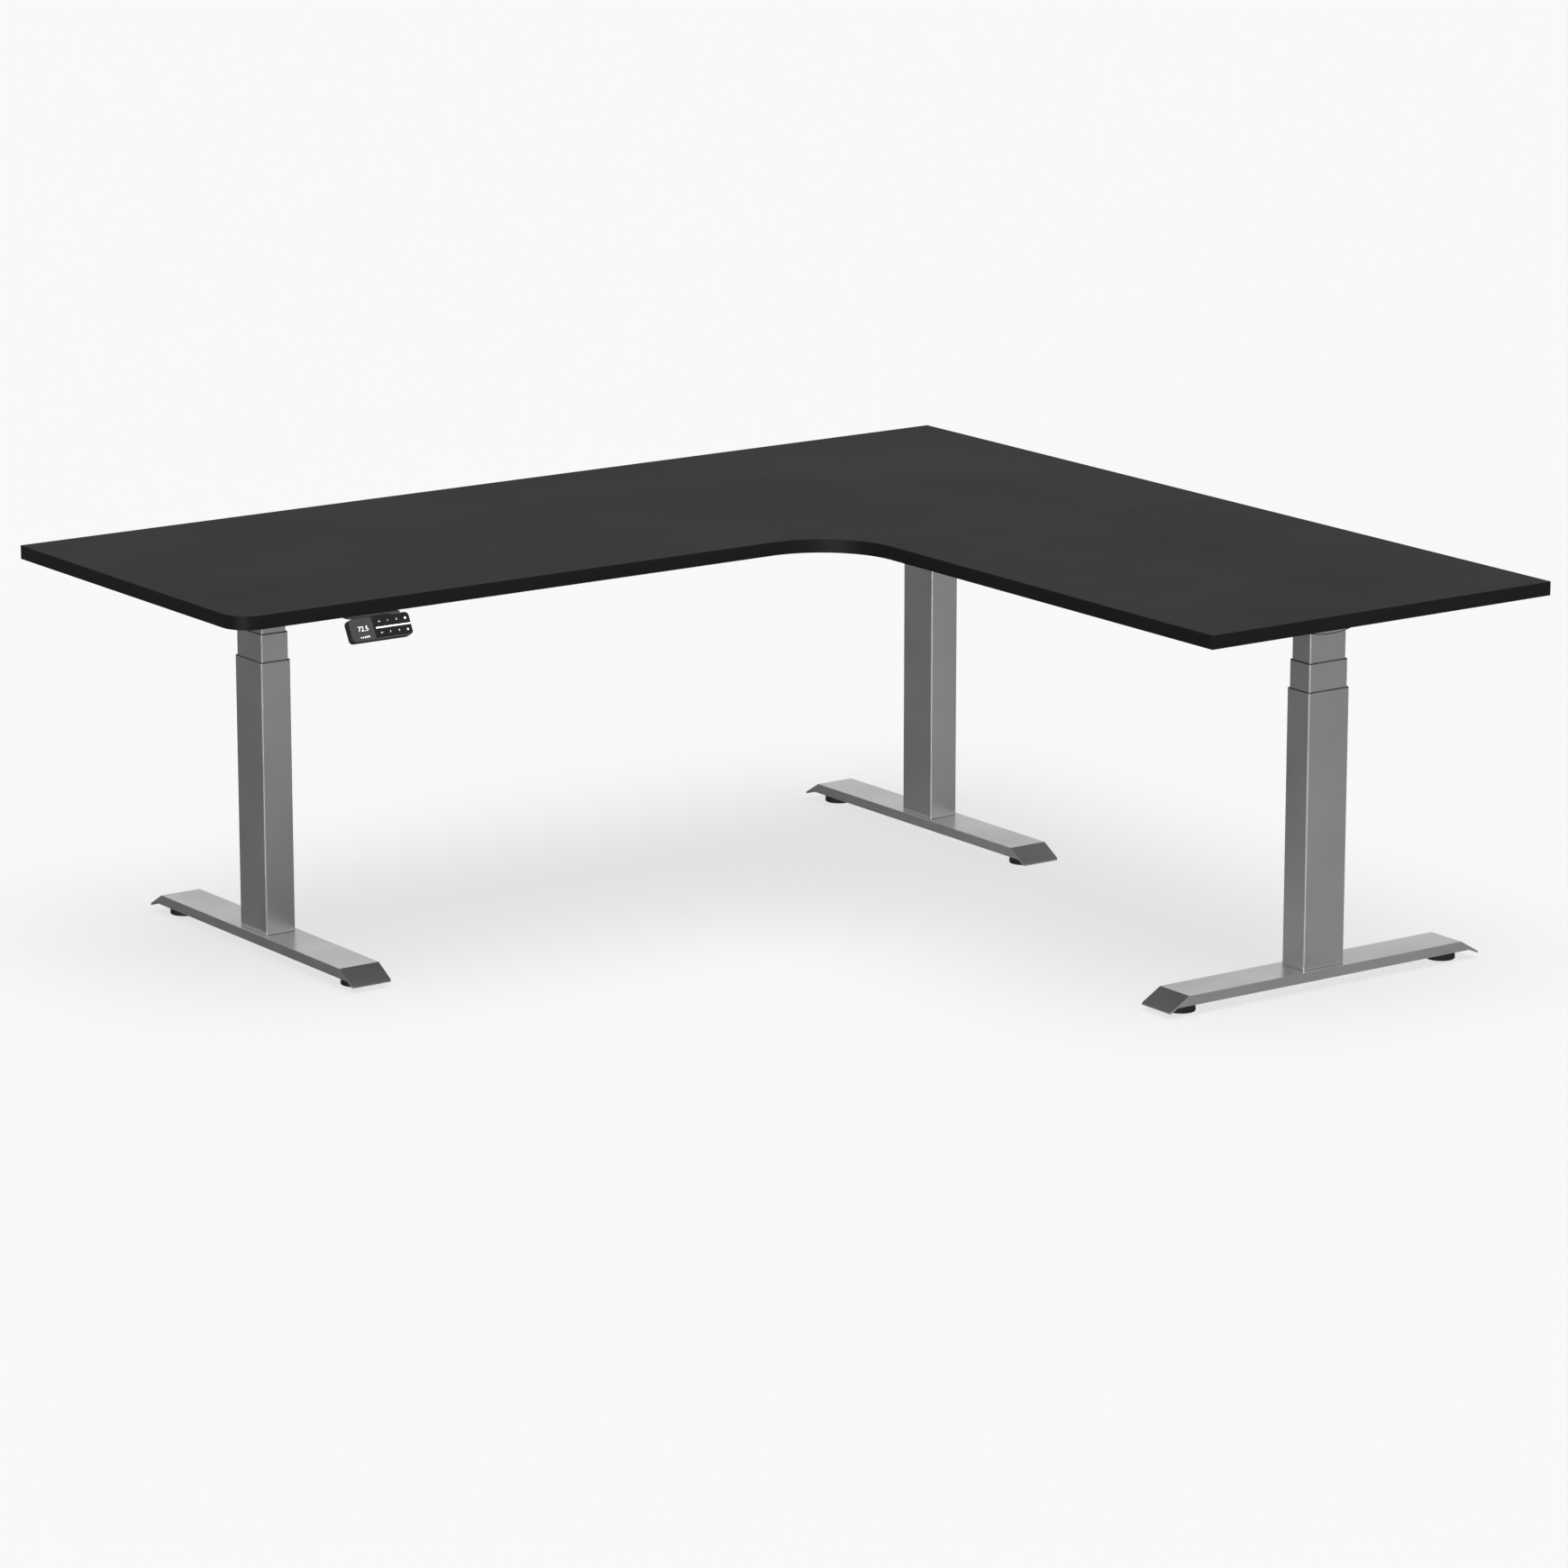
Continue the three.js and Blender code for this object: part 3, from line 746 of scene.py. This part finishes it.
def build_floor():
    """A pale floor that glows a little, so that only soft contact shadows show on it.

    Rays that don't come from the camera see the plainer bounce light instead."""
    shape = bmesh.new()
    bmesh.ops.create_grid(shape, x_segments=1, y_segments=1, size=FLOOR_SIZE / 2)
    mesh = bpy.data.meshes.new("floor")
    shape.to_mesh(mesh)
    shape.free()
    floor = bpy.data.objects.new("floor", mesh)
    floor.location.z = FLOOR_LEVEL
    bpy.context.scene.collection.objects.link(floor)
    made = bpy.data.materials.new("studio_floor")
    made.use_nodes = True
    tree = made.node_tree
    tree.nodes.clear()
    output = tree.nodes.new("ShaderNodeOutputMaterial")
    seen, pale = tree.nodes.new("ShaderNodeAddShader"), tree.nodes.new("ShaderNodeBsdfDiffuse")
    shine, bounce = tree.nodes.new("ShaderNodeEmission"), tree.nodes.new("ShaderNodeEmission")
    pale.inputs["Color"].default_value = grey(FLOOR_PALE)
    shine.inputs["Strength"].default_value = FLOOR_GLOW
    before = tree.nodes.new("ShaderNodeVectorMath")
    before.operation = "DOT_PRODUCT"
    before.inputs[1].default_value = BEFORE_DESK
    tree.links.new(tree.nodes.new("ShaderNodeTexCoord").outputs["Object"], before.inputs[0])
    level = remap(tree, before.outputs["Value"], FLOOR_BEHIND, FLOOR_BEFORE, -0.4, 0.5)
    tree.links.new(level, bounce.inputs["Strength"])
    path, choice = tree.nodes.new("ShaderNodeLightPath"), tree.nodes.new("ShaderNodeMixShader")
    tree.links.new(pale.outputs[0], seen.inputs[0])
    tree.links.new(shine.outputs[0], seen.inputs[1])
    tree.links.new(path.outputs["Is Camera Ray"], choice.inputs["Fac"])
    tree.links.new(bounce.outputs[0], choice.inputs[1])
    tree.links.new(seen.outputs[0], choice.inputs[2])
    tree.links.new(choice.outputs[0], output.inputs["Surface"])
    mesh.materials.append(made)


def add_sun(name, towards, strength, spread, shadow=True, diffuse=1.0, specular=1.0,
            bounces=8):
    """A distant lamp whose light travels along the given direction."""
    lamp = bpy.data.lights.new(name, "SUN")
    lamp.energy = strength
    lamp.angle = math.radians(spread)
    lamp.use_shadow = shadow
    lamp.diffuse_factor = diffuse
    lamp.specular_factor = specular
    lamp.cycles.max_bounces = bounces
    holder = bpy.data.objects.new(name, lamp)
    holder.visible_glossy = specular > 0
    holder.rotation_mode = "QUATERNION"
    holder.rotation_quaternion = Vector(towards).to_track_quat("-Z", "Y")
    bpy.context.scene.collection.objects.link(holder)


def build_walls():
    """The studio's surroundings: bright low down, dark higher up, a soft panel overhead."""
    world = bpy.data.worlds.new("studio")
    world.use_nodes = True
    tree = world.node_tree
    parts = tree.nodes.new("ShaderNodeSeparateXYZ")
    ramp = tree.nodes.new("ShaderNodeValToRGB")
    stops = ramp.color_ramp.elements
    while len(stops) < len(WALLS):
        stops.new(0.5)
    for stop, (height, radiance) in zip(stops, WALLS):
        stop.position = height
        stop.color = grey(radiance)
    coordinates = tree.nodes.new("ShaderNodeTexCoord")
    tree.links.new(coordinates.outputs["Generated"], parts.inputs["Vector"])
    tree.links.new(parts.outputs["Z"], ramp.inputs["Fac"])
    tree.links.new(ramp.outputs["Color"], tree.nodes["Background"].inputs["Color"])
    bpy.context.scene.world = world


def build_studio():
    build_floor()
    build_walls()
    add_sun("top_light", (0.05, 0.12, -1), 3.1, 58, specular=0.0)
    add_sun("front_light", (-0.2, 1, -0.2), 1.3, 30, shadow=False, specular=0.0)
    add_sun("edge_light", (0.78, 0.6, -0.02), 2.6, 24, diffuse=0.0, bounces=0)
    bpy.context.scene.view_settings.view_transform = "Standard"


# The camera stands in front of the user's left, well back, with a long lens.
CAMERA_PLACE = (-6.3725, -8.9893, 2.9959)
CAMERA_TURN = 35.41            # degrees from +Y towards +X
CAMERA_DOWN = 13.75            # degrees below the horizon
LENS = 147.9                   # mm on a 36 mm wide sensor


def build_camera():
    data = bpy.data.cameras.new("camera")
    data.sensor_width = 36
    data.lens = LENS
    data.clip_start, data.clip_end = 0.1, 400
    camera = bpy.data.objects.new("camera", data)
    camera.location = CAMERA_PLACE
    camera.rotation_euler = (math.radians(90 - CAMERA_DOWN), 0, -math.radians(CAMERA_TURN))
    bpy.context.scene.collection.objects.link(camera)
    bpy.context.scene.camera = camera


build_camera()
build_desktop()
for leg_name in LEGS:
    build_foot(leg_name)
    build_column(leg_name)
    build_head(leg_name)
build_rails()
build_control_box()
build_handset()
build_studio()
